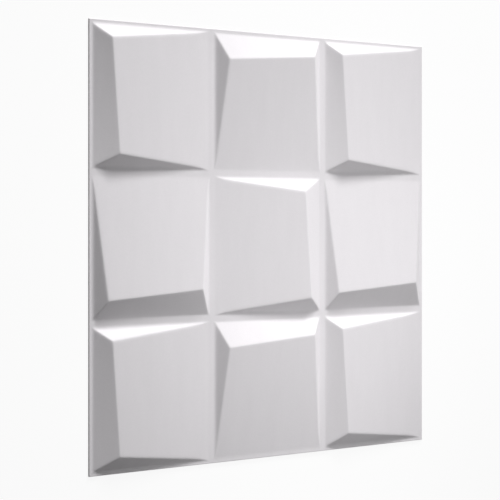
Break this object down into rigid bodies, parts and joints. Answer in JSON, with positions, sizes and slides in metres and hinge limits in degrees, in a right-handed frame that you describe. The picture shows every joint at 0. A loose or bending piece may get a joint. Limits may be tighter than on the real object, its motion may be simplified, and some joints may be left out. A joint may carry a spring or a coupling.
{
  "type": "relief wall panel tile",
  "caption": "Square pressed-fibre wall panel with a grid of tilted wedge blocks in relief, hollow behind, glued to a wall and butted to its neighbours.",
  "frame": {"origin": "middle of the back, on the plane that is glued to the wall", "axes": "+X to the panel's right, +Y to its top, +Z out of its face; the panel lies on its back"},
  "size_m": [0.5, 0.5, 0.0117],
  "materials": {
    "pressed_fibre": "matte"
  },
  "bodies": {
    "root": {"wall_panel": "pressed_fibre"}
  },
  "joints": []
}
